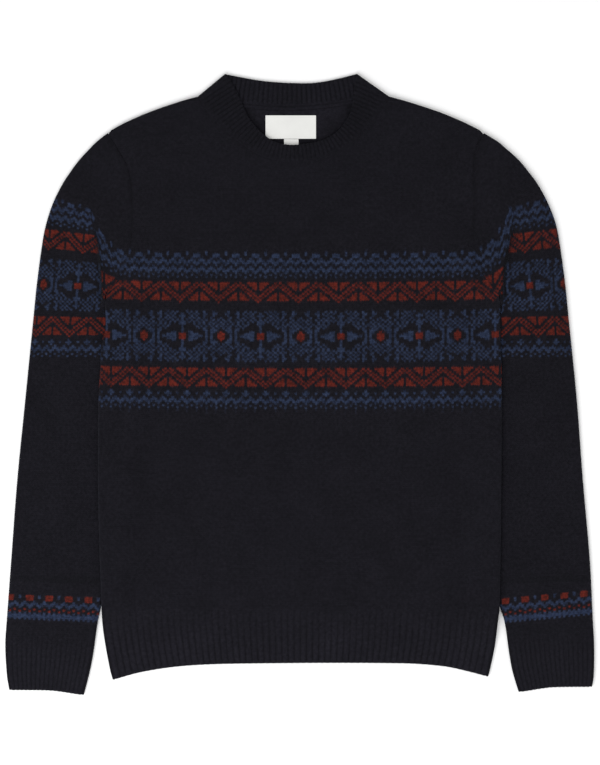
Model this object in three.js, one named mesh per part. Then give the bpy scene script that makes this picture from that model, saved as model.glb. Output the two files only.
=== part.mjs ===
// A fair isle jumper laid flat on its back, in millimetres, with +Z up and the floor at z = 0.
// +X is the wearer's left, +Y points to the neck, and the front panel faces up.
// The body and the sleeves are flattened tubes of knitted wall: two layers that meet in round
// folds at the sides. The body's sides lie over the sleeves, which are tucked in under them.
import * as THREE from 'three';

// Cloth
const wall = 2.6;                       // thickness of the knitted wall
const layerGap = 0.6;                   // between the two layers of a flattened tube
const seamGap = 0.3;                    // between two pieces that are sewn together
const half = wall + layerGap / 2;       // height of a fold's middle above what the tube lies on
const tube = 2 * half;                  // height of the two layers together
const innerRadius = layerGap / 2;       // inside of a fold

// Ribs, as how many there are and how far each stands up over its grooves
const hemRib = { count: 58, relief: 1.0 };
const cuffRib = { count: 11, relief: 1.0 };
const neckRib = { front: 34, back: 18, relief: 1.1 };
const bandBulge = 0.7;                  // how far the neckband is rounded up along its middle
const bandFoldShare = 0.016;            // share of the band's length taken by each of its folds

// The body's sides are raised to lie over the tucked sleeves, and slope down towards the middle.
const overlapLift = tube + 0.7;
const overlapSlope = 40;                // width of that slope
const pleatWidth = 11;                  // width of the step at the pleat beside the armhole
const liftEnds = { top: 198, fullTop: 150, fullHem: -279, hem: -330 };
const sleeveLiftEnd = 80;               // below the underarm the sleeve is back on the floor

// The front stands off the back round the neck, where the label lies between them.
const puff = { height: 1.8, x: -8, y: 286, width: 75, depth: 45 };

// Heights along the jumper
const shoulderY = 307;                  // outer end of the shoulder seams
const underarmY = 103;
const hemSeamY = -270;
const cuffSeam = { outer: -289.5, inner: -293.5 };
const cuffEnd = {
  left: { outer: -372.7, inner: -378.8 },
  right: { outer: -368.8, inner: -375.1 },
};
const neckEnd = { left: [-125, 351], right: [110, 351] };
const neckTip = { left: [-91, 379.2], right: [70, 379.2] };

// Side edges of the body below the underarm
const bodySide = [
  { y: 103, left: -237.5, right: 244.4 },
  { y: 66, left: -236.3, right: 244.4 },
  { y: 48, left: -241.3, right: 244.6 },
  { y: 12, left: -243.2, right: 246.0 },
  { y: -19, left: -245.0, right: 246.3 },
  { y: -141, left: -245.3, right: 245.6 },
  { y: -271, left: -241.4, right: 243.5 },
  { y: -292, left: -240.3, right: 241.2 },
  { y: -319, left: -237.0, right: 238.3 },
  { y: -348, left: -231.6, right: 232.4 },
  { y: -360.3, left: -228.3, right: 229.2 },
];

// Armhole seam from the shoulder down to the underarm
const armholeSeam = [
  { leftX: -234.5, leftY: shoulderY, rightX: 225.0, rightY: shoulderY },
  { leftX: -221.6, leftY: 286, rightX: 214.6, rightY: 286 },
  { leftX: -209.4, leftY: 262, rightX: 211.8, rightY: 260 },
  { leftX: -204.5, leftY: 225, rightX: 212.8, rightY: 225 },
  { leftX: -205.8, leftY: 169, rightX: 212.5, rightY: 170 },
  { leftX: -214.3, leftY: 140, rightX: 220.0, rightY: 140 },
  { leftX: -222.6, leftY: 123, rightX: 229.4, rightY: 122.6 },
  { leftX: -237.5, leftY: underarmY, rightX: 244.4, rightY: underarmY },
];

// Outer edge of the sleeves, from the shoulder to the end of the cuff
const sleeveOuter = [
  { y: 307, left: -234.5, right: 225.0 },
  { y: 296, left: -248.3, right: 242.7 },
  { y: 288, left: -256.2, right: 252.0 },
  { y: 274, left: -269.2, right: 267.6 },
  { y: 259, left: -280.3, right: 280.0 },
  { y: 244, left: -290.0, right: 291.0 },
  { y: 222, left: -300.9, right: 302.9 },
  { y: 200, left: -308.4, right: 311.6 },
  { y: 180, left: -313.0, right: 316.2 },
  { y: 127, left: -320.4, right: 323.7 },
  { y: 79, left: -325.3, right: 328.6 },
  { y: -19, left: -335.1, right: 338.4 },
  { y: -116, left: -344.8, right: 345.7 },
  { y: -214, left: -352.2, right: 354.2 },
  { y: -287, left: -357.6, right: 357.9 },
  { y: -318, left: -359.5, right: 359.5 },
  { y: -356, left: -357.4, right: 359.0 },
  { y: -374, left: -354.4, right: 356.2 },
];

// Inner edge of the sleeves: tucked in under the body down to the hem, and free below that
const sleeveInner = [
  { y: 103, left: -237.5, right: 244.4 },
  { y: 95, left: -239.2, right: 246.1 },
  { y: 79, left: -239.4, right: 246.3 },
  { y: 60, left: -234.0, right: 241.0 },
  { y: 42, left: -226.0, right: 233.0 },
  { y: 5, left: -214.5, right: 221.5 },
  { y: -68, left: -218.0, right: 225.0 },
  { y: -165, left: -227.0, right: 232.6 },
  { y: -238, left: -236.3, right: 239.4 },
  { y: -271, left: -242.5, right: 244.4 },
  { y: -290, left: -246.6, right: 250.2 },
  { y: -330, left: -252.2, right: 256.0 },
  { y: -352, left: -256.6, right: 260.3 },
  { y: -379, left: -263.5, right: 268.5 },
];

// Lines across the sleeve: where each meets the outer and the inner edge
const sleeveLines = [
  { outer: 307, inner: 103 },
  { outer: 262, inner: 95 },
  { outer: 206, inner: 84 },
  { outer: 152, inner: 66 },
  { outer: 97, inner: 40 },
  { outer: 42, inner: 8 },
  { outer: -19, inner: -30 },
  { outer: -92, inner: -98 },
  { outer: -165, inner: -169 },
  { outer: -238, inner: -241 },
  { outer: cuffSeam.outer, inner: cuffSeam.inner },
];
const stepsPerLine = 2;
const fanEnd = 0.5;                     // share of the sleeve where the armhole's curve has faded

// Inner end of the raised strip along each side of the body
const liftInside = [
  { y: 200, left: -200, right: 207 },
  { y: 103, left: -206, right: 213 },
  { y: 5, left: -208, right: 215 },
  { y: -68, left: -212, right: 219 },
  { y: -165, left: -221, right: 227 },
  { y: -238, left: -230, right: 234 },
  { y: -335, left: -234, right: 237 },
];

// Crease of the pleat that runs down the sleeve to the underarm
const pleat = [
  { y: 200, left: -253.0, right: 259.0 },
  { y: 186, left: -247.2, right: 256.5 },
  { y: 164, left: -243.6, right: 253.0 },
  { y: 140, left: -240.5, right: 247.5 },
  { y: 103, left: -238.8, right: 245.8 },
];

// Shoulder lines, and the seams and free edges of the neckband, from left to right
const leftShoulder = [[-234.5, 307], [-214.3, 318.5], [-182.6, 332.6], [-141.1, 347], neckEnd.left];
const rightShoulder = [neckEnd.right, [126.1, 347], [170, 332.6], [203, 318.5], [225, 307]];
const frontNeck = [
  neckEnd.left, [-113, 332.4], [-97.2, 314.1], [-75.2, 296.3], [-53.3, 281.2], [-28.2, 272.7],
  [-3.2, 270.2], [34, 276.3], [65.1, 294.6], [85.3, 317.8], [99.5, 336.1], neckEnd.right,
];
const backNeck = [
  neckEnd.left, [-106.9, 344], [-87.4, 339.8], [-66.7, 336.7], [-36.2, 334.3], [-8.1, 333.7],
  [30.9, 336.7], [62.6, 341.6], [88.3, 346.5], neckEnd.right,
];
const frontBandEdge = [
  neckTip.left, [-83.8, 370], [-75.8, 355.6], [-69.1, 340.4], [-61.8, 325.1], [-53.3, 314.1],
  [-42.3, 303.8], [-30.1, 295.8], [-11.8, 292.2], [5.3, 293.4], [24.8, 297.1], [40.1, 304.4],
  [52.3, 316], [61.4, 331.2], [65.1, 348.3], [66.6, 362.9], neckTip.right,
];
const backBandEdge = [
  neckTip.left, [-82.5, 377.2], [-42.3, 370.3], [0.4, 367.8], [24.8, 369.1], [49.2, 373.9],
  neckTip.right,
];

// Bottom edge of the hem
const hemEnd = [
  { x: -228.3, y: -360.3 },
  { x: -193.6, y: -350.8 },
  { x: -143.5, y: -343.4 },
  { x: -72.8, y: -340.4 },
  { x: 122.4, y: -340.0 },
  { x: 176.1, y: -343.8 },
  { x: 206.6, y: -350.4 },
  { x: 229.2, y: -356.4 },
];

// Label on the inside of the back, and the size tab under it
const label = { left: -41.7, right: 19.9, top: 328.5, bottom: 300, thickness: 0.5 };
const sizeTab = { left: -19.1, right: -1.4, bottom: 286, thickness: 0.4 };

// How finely the pieces are divided
const sideRows = 11;                    // rows of the body below the underarm
const armholeSteps = 7;
const neckSteps = { front: 14, back: 10 };
const shoulderColumns = { left: [-207, -182, -154], right: [138, 164, 188, 207] };
const cuffRows = 3;
const hemRows = 2;
const plainHemSteps = 48;
const bandRows = 3;

const yarn = new THREE.MeshStandardMaterial({ color: 0x1c1b20, roughness: 0.95, metalness: 0 });
const satin = new THREE.MeshStandardMaterial({ color: 0xf0f0ec, roughness: 0.6, metalness: 0 });

const { lerp, clamp } = THREE.MathUtils;
const smooth = (share) => THREE.MathUtils.smoothstep(share, 0, 1);

// Smooth value of one column of a table at a place given in another column.
function tableAt(table, keyName, valueName, key) {
  const rows = [...table].sort((a, b) => a[keyName] - b[keyName]);
  const last = rows.length - 1;
  const at = clamp(key, rows[0][keyName], rows[last][keyName]);
  let low = 0;
  while (low < last - 1 && rows[low + 1][keyName] < at) low += 1;
  const slope = (index) => {
    const before = rows[Math.max(index - 1, 0)];
    const after = rows[Math.min(index + 1, last)];
    return (after[valueName] - before[valueName]) / (after[keyName] - before[keyName]);
  };
  const span = rows[low + 1][keyName] - rows[low][keyName];
  const t = (at - rows[low][keyName]) / span;
  const [t2, t3] = [t * t, t * t * t];
  return (2 * t3 - 3 * t2 + 1) * rows[low][valueName] + (t3 - 2 * t2 + t) * span * slope(low)
    + (3 * t2 - 2 * t3) * rows[low + 1][valueName] + (t3 - t2) * span * slope(low + 1);
}

const smoothCurve = (points) => new THREE.SplineCurve(points.map(([x, y]) => new THREE.Vector2(x, y)));

// Point at a share of the length of a line of straight stretches.
function alongLine(points, share) {
  const lengths = points.slice(1).map((point, index) => point.distanceTo(points[index]));
  let rest = share * lengths.reduce((sum, length) => sum + length, 0);
  let index = 0;
  while (index < lengths.length - 1 && rest > lengths[index]) {
    rest -= lengths[index];
    index += 1;
  }
  return points[index].clone().lerp(points[index + 1], rest / lengths[index]);
}

// A closed solid between an outer and an inner grid of points, rows by columns.
// Where the columns wrap round, the first one follows the last one, as in a tube.
function clothSolid(name, outer, inner, wraps, material = yarn) {
  const rows = outer.length;
  const columns = outer[0].length;
  const positions = [...outer.flat(), ...inner.flat()].flatMap((point) => [point.x, point.y, point.z]);
  const outerIndex = (row, column) => row * columns + (column % columns);
  const innerIndex = (row, column) => rows * columns + outerIndex(row, column);
  const faces = [];
  const quad = (a, b, c, d) => faces.push(a, b, c, a, c, d);
  const columnSteps = wraps ? columns : columns - 1;
  for (let row = 0; row < rows - 1; row += 1) {
    for (let column = 0; column < columnSteps; column += 1) {
      quad(outerIndex(row, column), outerIndex(row, column + 1),
        outerIndex(row + 1, column + 1), outerIndex(row + 1, column));
      quad(innerIndex(row, column), innerIndex(row + 1, column),
        innerIndex(row + 1, column + 1), innerIndex(row, column + 1));
    }
  }
  for (let column = 0; column < columnSteps; column += 1) {
    const end = rows - 1;
    quad(outerIndex(0, column + 1), outerIndex(0, column),
      innerIndex(0, column), innerIndex(0, column + 1));
    quad(outerIndex(end, column), outerIndex(end, column + 1),
      innerIndex(end, column + 1), innerIndex(end, column));
  }
  if (!wraps) {
    const end = columns - 1;
    for (let row = 0; row < rows - 1; row += 1) {
      quad(outerIndex(row, 0), outerIndex(row + 1, 0), innerIndex(row + 1, 0), innerIndex(row, 0));
      quad(outerIndex(row + 1, end), outerIndex(row, end), innerIndex(row, end), innerIndex(row + 1, end));
    }
  }
  const geometry = new THREE.BufferGeometry();
  geometry.setAttribute('position', new THREE.Float32BufferAttribute(positions, 3));
  geometry.setIndex(facesOut(positions, faces));
  geometry.computeVertexNormals();
  const mesh = new THREE.Mesh(geometry, material);
  mesh.name = name;
  return mesh;
}

// The same faces, turned over where their solid would be inside out.
function facesOut(positions, faces) {
  const corner = (index) => new THREE.Vector3().fromArray(positions, index * 3);
  let volume = 0;
  for (let face = 0; face < faces.length; face += 3) {
    const [a, b, c] = [corner(faces[face]), corner(faces[face + 1]), corner(faces[face + 2])];
    volume += a.dot(b.cross(c));
  }
  return volume > 0 ? faces : faces.reverse();
}

// A fold's round edge, as angles from its middle (0) to where the cloth is flat (90 degrees).
const foldAngles = [0, 30, 60, 90].map(THREE.MathUtils.degToRad);
const foldSteps = foldAngles.length - 1;
const foldInset = (angle) => half * (1 - Math.cos(angle));
const innerInset = (angle) => half - innerRadius * Math.cos(angle);

// How far a point stands off the floor, on the body and on the sleeves.
function bodyLift(x, y) {
  const side = x < 0 ? 'left' : 'right';
  const inside = Math.abs(tableAt(liftInside, 'y', side, y)) - Math.abs(x);
  const down = smooth((liftEnds.top - y) / (liftEnds.top - liftEnds.fullTop));
  const up = smooth((y - liftEnds.hem) / (liftEnds.fullHem - liftEnds.hem));
  return overlapLift * down * up * (1 - smooth(inside / overlapSlope));
}

function sleeveLift(x, y) {
  const side = x < 0 ? 'left' : 'right';
  const outside = Math.abs(x) - Math.abs(tableAt(pleat, 'y', side, y));
  const down = smooth((liftEnds.top - y) / (liftEnds.top - liftEnds.fullTop));
  const up = smooth((y - sleeveLiftEnd) / (underarmY - sleeveLiftEnd));
  return overlapLift * down * up * (1 - smooth(outside / pleatWidth));
}

const neckPuff = (x, y) => puff.height
  * Math.exp(-(((x - puff.x) / puff.width) ** 2) - ((y - puff.y) / puff.depth) ** 2);

// Height of a rib's wave: flat on the rib, with a narrow groove at each whole number.
const [ribTop, grooveBottom, grooveReach] = [0.6, -0.4, 0.01];
const ribHeight = (place, relief) => relief
  * (Math.abs(place - Math.round(place)) < grooveReach ? grooveBottom : ribTop);
const ribPlaces = (count) => Array.from({ length: count }, (_, rib) => [rib, rib + 0.25, rib + 0.75])
  .flat().concat(count).map((place) => place / count);

// Distances along the armhole seam where the front, the back and the sleeve all have a point.
const armholeCurve = (side) => smoothCurve(armholeSeam.map((row) => [row[`${side}X`], row[`${side}Y`]]));
function seamShares(length) {
  const start = foldAngles.map((angle) => foldInset(angle) / length);
  const end = start.map((share) => 1 - share).reverse();
  const middle = Array.from({ length: armholeSteps - 1 }, (_, index) => (
    lerp(start.at(-1), end[0], (index + 1) / armholeSteps)));
  return [...start, ...middle, ...end];
}

// The body's outline: for each row, where it meets the left and the right edge.
// The rows run from the hem's seam up to the underarm, and on up the armhole to the shoulder.
function bodyRows() {
  const rows = [];
  for (let index = 0; index < sideRows; index += 1) {
    const y = lerp(hemSeamY + seamGap / 2, underarmY, index / sideRows);
    rows.push({
      left: new THREE.Vector2(tableAt(bodySide, 'y', 'left', y), y),
      right: new THREE.Vector2(tableAt(bodySide, 'y', 'right', y), y),
      folded: 1,
    });
  }
  const [leftCurve, rightCurve] = [armholeCurve('left'), armholeCurve('right')];
  const leftShares = seamShares(leftCurve.getLength()).reverse();
  const rightShares = seamShares(rightCurve.getLength()).reverse();
  leftShares.forEach((share, index) => {
    const left = leftCurve.getPointAt(clamp(share, 0, 1));
    const right = rightCurve.getPointAt(clamp(rightShares[index], 0, 1));
    left.x += seamGap * 0.6;
    right.x -= seamGap * 0.6;
    rows.push({ left, right, folded: index < foldSteps ? 1 - Math.sin(foldAngles[index]) : 0 });
  });
  return rows;
}

// The columns' places along the top edge: the shoulders, which are folded, and the neck between them.
const neckLine = (points, steps) => {
  const curve = smoothCurve(points);
  return Array.from({ length: steps + 1 }, (_, index) => curve.getPointAt(index / steps));
};
function topEdge(neckPoints) {
  const shoulderPoint = (points, x) => {
    const table = points.map(([pointX, pointY]) => ({ x: pointX, y: pointY }));
    return new THREE.Vector2(x, tableAt(table, 'x', 'y', x));
  };
  const insets = foldAngles.map(foldInset);
  const leftX = [...insets.map((inset) => leftShoulder[0][0] + inset), ...shoulderColumns.left];
  const rightX = [...shoulderColumns.right,
    ...insets.map((inset) => rightShoulder.at(-1)[0] - inset).reverse()];
  return [
    ...leftX.map((x) => ({ point: shoulderPoint(leftShoulder, x), folded: 1 })),
    ...neckPoints.map((point, index) => ({
      point, folded: index === 0 || index === neckPoints.length - 1 ? 1 : 0,
    })),
    ...rightX.map((x) => ({ point: shoulderPoint(rightShoulder, x), folded: 1 })),
  ];
}

// One body panel: the upper layer and the upper half of the folds, or the lower layer and half.
function bodyPanel(name, neckPoints, facing) {
  const rows = bodyRows();
  const columns = topEdge(neckPoints);
  const top = rows.at(-1);
  const [firstX, lastX] = [top.left.x, top.right.x];
  const lastRow = rows.length - 1;
  const lastColumn = columns.length - 1;
  const plan = rows.map((row) => {
    const climb = (row.left.y - rows[0].left.y) / (top.left.y - rows[0].left.y);
    return columns.map(({ point }) => {
      const across = clamp((point.x - firstX) / (lastX - firstX), 0, 1);
      const rise = point.y - lerp(top.left.y, top.right.y, across);
      return new THREE.Vector2(lerp(row.left.x, row.right.x, across),
        lerp(row.left.y, row.right.y, across) + rise * climb ** 4);
    });
  });
  const [outer, inner] = [[], []];
  rows.forEach((row, rowIndex) => {
    outer.push([]);
    inner.push([]);
    columns.forEach((column, columnIndex) => {
      const point = plan[rowIndex][columnIndex];
      const innerPoint = point.clone();
      let flatness = 1;
      const fold = (steps, folded, flatPoint) => {
        if (steps >= foldSteps || folded === 0) return;
        const angle = foldAngles[steps];
        const inward = flatPoint.clone().sub(point).normalize();
        innerPoint.addScaledVector(inward, folded * (innerInset(angle) - foldInset(angle)));
        flatness *= lerp(1, Math.sin(angle), folded);
      };
      fold(lastRow - rowIndex, column.folded, plan[lastRow - foldSteps][columnIndex]);
      fold(columnIndex, row.folded, plan[rowIndex][foldSteps]);
      fold(lastColumn - columnIndex, row.folded, plan[rowIndex][lastColumn - foldSteps]);
      const middle = half + bodyLift(point.x, point.y)
        + (facing > 0 ? neckPuff(point.x, point.y) : 0);
      const seam = seamGap / 2;
      outer.at(-1).push(new THREE.Vector3(point.x, point.y,
        middle + facing * (seam + (half - seam) * flatness)));
      inner.at(-1).push(new THREE.Vector3(innerPoint.x, innerPoint.y,
        middle + facing * (seam + (innerRadius - seam) * flatness)));
    });
  });
  return clothSolid(name, outer, inner, false);
}

// The loop round one line across a sleeve: its upper layer, the inner fold, its lower layer and
// the outer fold. The line runs from the sleeve's outer edge (share 0) to its inner edge (share 1).
function sleeveLoop(lineAt, length, upperShares, lowerShares, liftAt, raiseAt) {
  const [outer, inner] = [[], []];
  const place = (share, side, raise) => {
    const fromEnd = Math.min(share, 1 - share) * length;
    const angle = fromEnd < half ? Math.acos(clamp(1 - fromEnd / half, -1, 1)) : Math.PI / 2;
    const innerShare = fromEnd < half - 1e-6
      ? (share < 0.5 ? innerInset(angle) / length : 1 - innerInset(angle) / length) : share;
    const point = lineAt(share);
    const innerPoint = lineAt(innerShare);
    const lift = liftAt(point.x, point.y);
    outer.push(new THREE.Vector3(point.x, point.y, half + lift + side * half * Math.sin(angle) + raise));
    inner.push(new THREE.Vector3(innerPoint.x, innerPoint.y,
      half + lift + side * innerRadius * Math.sin(angle)));
  };
  upperShares.forEach((share) => place(share, 1, raiseAt(share)));
  [...lowerShares].reverse().slice(1, -1).forEach((share) => place(share, -1, 0));
  return { outer, inner };
}

// A sleeve, from the armhole to the cuff's seam. Near the armhole the lines follow its curve.
function sleeve(name, side) {
  const seam = armholeCurve(side);
  const outward = side === 'left' ? -1 : 1;
  const start = seam.getPointAt(0);
  const end = seam.getPointAt(1);
  const [outer, inner] = [[], []];
  const steps = (sleeveLines.length - 1) * stepsPerLine;
  for (let step = 0; step <= steps; step += 1) {
    const index = Math.min(Math.floor(step / stepsPerLine), sleeveLines.length - 2);
    const within = step / stepsPerLine - index;
    const outerY = lerp(sleeveLines[index].outer, sleeveLines[index + 1].outer, within);
    const innerY = lerp(sleeveLines[index].inner, sleeveLines[index + 1].inner, within);
    const from = new THREE.Vector2(tableAt(sleeveOuter, 'y', side, outerY), outerY);
    const to = new THREE.Vector2(tableAt(sleeveInner, 'y', side, innerY), innerY);
    const bow = clamp(1 - step / (steps * fanEnd), 0, 1) ** 1.5;
    const lineAt = (share) => {
      const curved = seam.getPointAt(clamp(share, 0, 1)).sub(start.clone().lerp(end, share));
      const settled = step === 0 ? 1 : 1 - share ** 9;
      const point = from.clone().lerp(to, share).addScaledVector(curved, bow * settled);
      if (step === 0) point.x += outward * seamGap * 0.6;
      return point;
    };
    const length = step === 0 ? seam.getLength() : from.distanceTo(to);
    const shares = seamShares(length);
    const loop = sleeveLoop(lineAt, length, shares, shares, sleeveLift, () => 0);
    outer.push(loop.outer);
    inner.push(loop.inner);
  }
  return clothSolid(name, outer, inner, true);
}

// A cuff: a short tube ribbed on its upper side, with its underside flat on the floor.
function cuff(name, side) {
  const [outer, inner] = [[], []];
  for (let row = 0; row <= cuffRows; row += 1) {
    const share = row / cuffRows;
    const outerY = lerp(cuffSeam.outer - seamGap, cuffEnd[side].outer, share);
    const innerY = lerp(cuffSeam.inner - seamGap, cuffEnd[side].inner, share);
    const from = new THREE.Vector2(tableAt(sleeveOuter, 'y', side, outerY), outerY);
    const to = new THREE.Vector2(tableAt(sleeveInner, 'y', side, innerY), innerY);
    const length = from.distanceTo(to);
    const edge = foldAngles.slice(0, -1).map((angle) => foldInset(angle) / length);
    const flat = half / length;
    const ribs = ribPlaces(cuffRib.count).map((place) => lerp(flat, 1 - flat, place));
    const upper = [...edge, ...ribs, ...edge.map((inset) => 1 - inset).reverse()];
    const lower = [...edge, flat, 0.3, 0.5, 0.7, 1 - flat, ...edge.map((inset) => 1 - inset).reverse()];
    const raiseAt = (place) => (place < flat * 0.99 || place > 1 - flat * 0.99 ? 0
      : ribHeight(((place - flat) / (1 - 2 * flat)) * cuffRib.count, cuffRib.relief));
    const loop = sleeveLoop((place) => from.clone().lerp(to, place), length, upper, lower, () => 0, raiseAt);
    outer.push(loop.outer);
    inner.push(loop.inner);
  }
  return clothSolid(name, outer, inner, true);
}

// A hem band: the front one is ribbed, and the back one is flat on the floor.
function hemBand(name, facing) {
  const width = hemEnd.at(-1).x - hemEnd[0].x;
  const flatShare = half / width;
  const edge = foldAngles.slice(0, -1).map((angle) => foldInset(angle) / width);
  const plain = Array.from({ length: plainHemSteps + 1 }, (_, index) => index / plainHemSteps);
  const places = facing > 0 ? ribPlaces(hemRib.count) : plain;
  const middle = places.map((place) => lerp(flatShare, 1 - flatShare, place));
  const shares = [...edge, ...middle, ...edge.map((share) => 1 - share).reverse()];
  const [outer, inner] = [[], []];
  for (let row = 0; row <= hemRows; row += 1) {
    const down = row / hemRows;
    outer.push([]);
    inner.push([]);
    shares.forEach((share, index) => {
      const startY = hemSeamY - seamGap / 2;
      const xAt = (leftY, rightY) => lerp(tableAt(bodySide, 'y', 'left', leftY),
        tableAt(bodySide, 'y', 'right', rightY), share);
      const endY = tableAt(hemEnd, 'x', 'y', lerp(hemEnd[0].x, hemEnd.at(-1).x, share));
      const x = xAt(lerp(startY, hemEnd[0].y, down), lerp(startY, hemEnd.at(-1).y, down));
      const y = lerp(startY, endY, down);
      const fold = Math.min(index, shares.length - 1 - index, foldSteps);
      const inward = fold < foldSteps ? innerInset(foldAngles[fold]) - foldInset(foldAngles[fold]) : 0;
      const flatness = Math.sin(foldAngles[fold]);
      const onRib = facing > 0 && fold === foldSteps;
      const raise = onRib ? ribHeight(places[index - foldSteps] * hemRib.count, hemRib.relief) : 0;
      const level = half + bodyLift(x, y);
      const seam = seamGap / 2;
      outer.at(-1).push(new THREE.Vector3(x, y, level + facing * (seam + (half - seam) * flatness) + raise));
      inner.at(-1).push(new THREE.Vector3(x + (share < 0.5 ? inward : -inward), y,
        level + facing * (seam + (innerRadius - seam) * flatness)));
    });
  }
  return clothSolid(name, outer, inner, false);
}

// The neckband: one ribbed ring. Its front half lies on the upper layer and its back half on the
// floor, and it folds round at both ends. Each row runs round the ring, from the seam to the edge.
function neckband(name, frontLine, backLine) {
  const frontEdge = smoothCurve(frontBandEdge);
  const backEdge = smoothCurve(backBandEdge);
  const [outer, inner] = [[], []];
  for (let row = 0; row <= bandRows; row += 1) {
    const across = row / bandRows;
    const bulge = bandBulge * Math.sin(Math.PI * across);
    const place = (line, edge, share) => {
      const seam = alongLine(line, share);
      const free = edge.getPointAt(share);
      const width = seam.distanceTo(free);
      return seam.lerp(free, lerp(seamGap * 1.2 / width, 1, across));
    };
    const foldAt = (end) => place(frontLine, frontEdge, end);
    const ring = { outer: [], inner: [] };
    const lay = (point, innerPoint, outerZ, innerZ) => {
      ring.outer.push(new THREE.Vector3(point.x, point.y, outerZ));
      ring.inner.push(new THREE.Vector3(innerPoint.x, innerPoint.y, innerZ));
    };
    const layHalf = (line, edge, count, facing) => {
      const shares = ribPlaces(count).map((share) => lerp(bandFoldShare, 1 - bandFoldShare, share));
      (facing > 0 ? shares : shares.reverse()).forEach((share) => {
        const point = place(line, edge, share);
        const rib = ribHeight(((share - bandFoldShare) / (1 - 2 * bandFoldShare)) * count, neckRib.relief);
        const puffed = facing > 0 ? neckPuff(point.x, point.y) : 0;
        const outerZ = facing > 0 ? tube + puffed + rib + bulge : 0;
        const innerZ = half + facing * innerRadius + puffed + (facing > 0 ? 0 : rib * 0.6 + bulge * 0.4);
        lay(point, point, outerZ, innerZ);
      });
    };
    const layFold = (end, fromFront) => {
      const share = end ? 1 - bandFoldShare : bandFoldShare;
      const tip = foldAt(end);
      for (const degrees of [60, 30, 0, -30, -60]) {
        const angle = THREE.MathUtils.degToRad(degrees);
        const onBack = fromFront ? degrees <= 0 : degrees >= 0;
        const flatPoint = place(...(onBack ? [backLine, backEdge] : [frontLine, frontEdge]), share);
        const outerPoint = tip.clone().lerp(flatPoint, 1 - Math.cos(angle));
        const innerPoint = tip.clone().lerp(flatPoint, innerInset(angle) / half);
        const up = (fromFront ? 1 : -1) * Math.sin(angle);
        lay(outerPoint, innerPoint, half + up * half, half + up * innerRadius);
      }
    };
    layHalf(frontLine, frontEdge, neckRib.front, 1);
    layFold(1, true);
    layHalf(backLine, backEdge, neckRib.back, -1);
    layFold(0, false);
    outer.push(ring.outer);
    inner.push(ring.inner);
  }
  return clothSolid(name, outer, inner, true);
}

// A flat woven piece that lies on the inside of the back.
function wovenPiece(name, left, right, bottom, top, thickness) {
  const columns = [0, 0.25, 0.5, 0.75, 1].map((share) => lerp(left, right, share));
  const layer = (z) => [bottom, top].map((y) => columns.map((x) => new THREE.Vector3(x, y, z)));
  const floor = wall + seamGap;
  return clothSolid(name, layer(floor + thickness), layer(floor), false, satin);
}

const frontNeckPoints = neckLine(frontNeck, neckSteps.front);
const backNeckPoints = neckLine(backNeck, neckSteps.back);

const jumper = new THREE.Group();
jumper.add(
  bodyPanel('front', frontNeckPoints, 1),
  bodyPanel('back', backNeckPoints, -1),
  sleeve('left_sleeve', 'right'),
  sleeve('right_sleeve', 'left'),
  cuff('left_cuff', 'right'),
  cuff('right_cuff', 'left'),
  hemBand('front_hem_rib', 1),
  hemBand('back_hem_rib', -1),
  neckband('neckband', frontNeckPoints, backNeckPoints),
  wovenPiece('neck_label', label.left, label.right, label.bottom, label.top, label.thickness),
  wovenPiece('size_tab', sizeTab.left, sizeTab.right, sizeTab.bottom, label.bottom - seamGap,
    sizeTab.thickness),
);

export default jumper;
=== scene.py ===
import bpy
import numpy as np
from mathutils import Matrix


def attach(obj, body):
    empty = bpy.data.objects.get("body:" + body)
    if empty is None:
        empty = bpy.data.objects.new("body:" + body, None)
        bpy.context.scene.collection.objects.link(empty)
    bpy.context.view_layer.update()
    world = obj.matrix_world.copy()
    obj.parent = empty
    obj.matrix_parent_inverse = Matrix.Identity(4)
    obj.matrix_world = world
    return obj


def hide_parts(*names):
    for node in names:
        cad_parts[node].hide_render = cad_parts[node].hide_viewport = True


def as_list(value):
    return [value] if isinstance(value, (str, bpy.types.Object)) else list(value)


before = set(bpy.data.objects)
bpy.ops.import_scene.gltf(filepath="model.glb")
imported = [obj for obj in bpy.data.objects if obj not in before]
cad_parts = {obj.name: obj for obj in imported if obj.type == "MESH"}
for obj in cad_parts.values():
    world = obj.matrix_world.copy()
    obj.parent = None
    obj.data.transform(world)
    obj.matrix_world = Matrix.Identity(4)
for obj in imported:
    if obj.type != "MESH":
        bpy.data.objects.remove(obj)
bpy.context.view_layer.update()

# Camera, table and light
# The jumper lies flat on a pale table and is seen from straight above through a long lens.
# A broad soft light hangs beyond its lower left corner, and the rest comes from a white room.
picture_middle = (0.0004, 0.0024)       # where the middle of the picture falls on the table
picture_height = 0.9333                 # how much of the table the picture's long side shows
lens, sensor = 100, 36
cloth_level = 0.005                     # height of the cloth that the picture's size is measured at

camera_data = bpy.data.cameras.new("camera")
camera_data.lens = lens
camera_data.sensor_width = sensor
camera = bpy.data.objects.new("camera", camera_data)
camera.location = (*picture_middle, picture_height * lens / sensor + cloth_level)
bpy.context.collection.objects.link(camera)
bpy.context.scene.camera = camera
bpy.context.scene.view_settings.view_transform = "Standard"


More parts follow.
